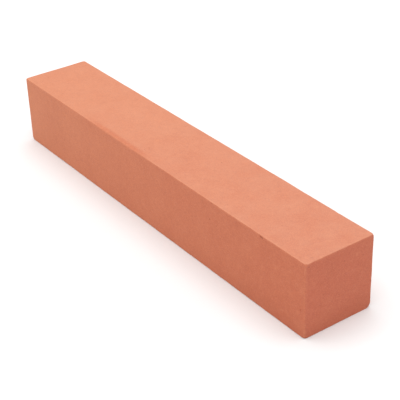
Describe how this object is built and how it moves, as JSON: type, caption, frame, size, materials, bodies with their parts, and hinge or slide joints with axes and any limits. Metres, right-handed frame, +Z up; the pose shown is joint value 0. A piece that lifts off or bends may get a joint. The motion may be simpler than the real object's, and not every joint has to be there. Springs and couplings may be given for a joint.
{
  "type": "abrasive stick",
  "caption": "Square-section bar of fine brick-orange bonded abrasive with crisp arrises, held in the hand to rub down masonry or to dress a diamond blade.",
  "frame": {"origin": "middle of the face that the stick lies on", "axes": "+X along the stick, +Y across it, +Z up out of the face that it lies on"},
  "size_m": [0.1524, 0.0242, 0.0243],
  "materials": {
    "fired_abrasive": "matte"
  },
  "bodies": {
    "root": {"abrasive_stick": "fired_abrasive"}
  },
  "joints": []
}
